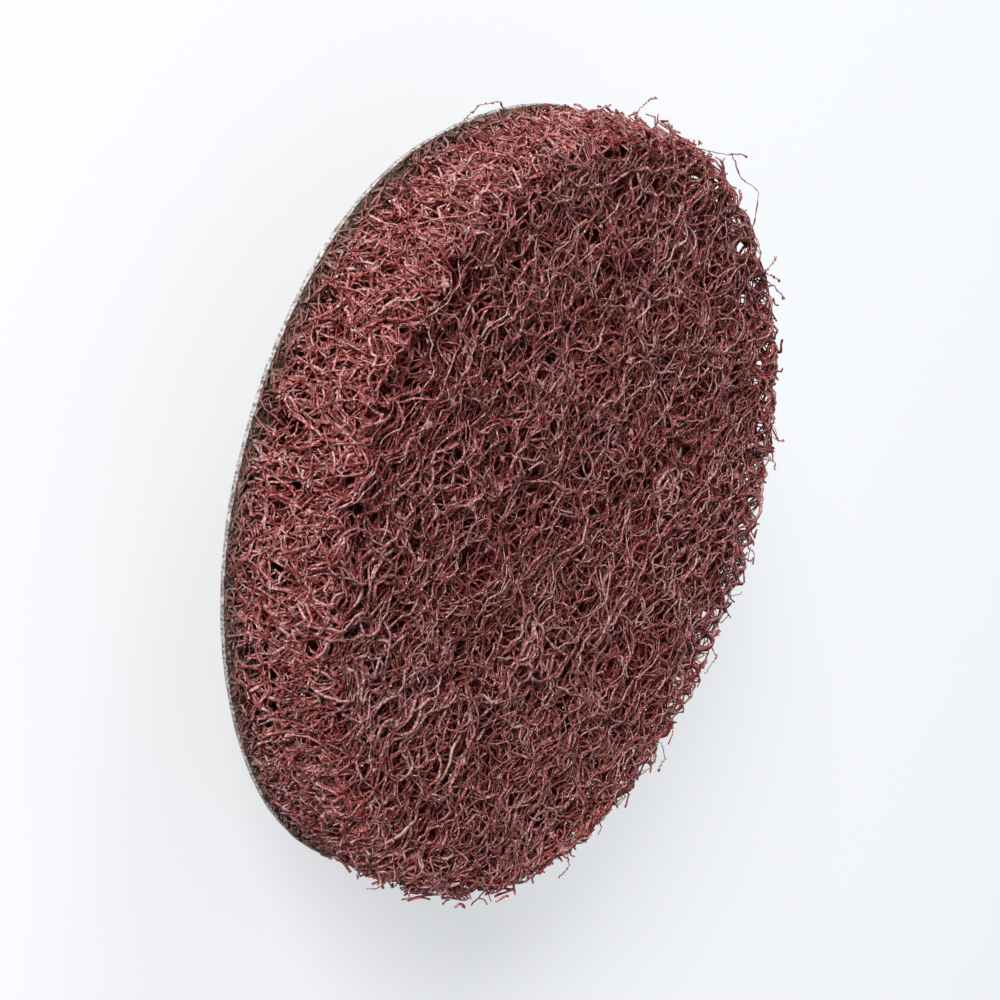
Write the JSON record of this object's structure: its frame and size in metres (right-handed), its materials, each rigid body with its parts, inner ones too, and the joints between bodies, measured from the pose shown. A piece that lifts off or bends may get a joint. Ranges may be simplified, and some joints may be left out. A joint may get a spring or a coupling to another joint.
{
  "type": "quick-change blending disc",
  "caption": "Round springy non-woven abrasive pad on a cloth backing, with a moulded screw-in button glued to the middle of its back.",
  "frame": {"origin": "middle of the flat end of the button's stub, the lowest point of the part as it stands", "axes": "+Z along the disc's axis, from the stub's end to the web's working face. X and Y are square to it, and neither has a marked direction, because the disc is round"},
  "size_m": [0.0396, 0.0396, 0.0133],
  "materials": {
    "web": "resin-bonded maroon nylon web with abrasive grain",
    "cloth": "pale grey woven cloth, matt",
    "glue": "amber hot-melt, satin",
    "nylon": "black moulded nylon, satin"
  },
  "bodies": {
    "root": {"abrasive_web": "web", "scrim_backing": "cloth", "hot_melt_bond": "glue", "quick_change_button": "nylon"}
  },
  "joints": []
}
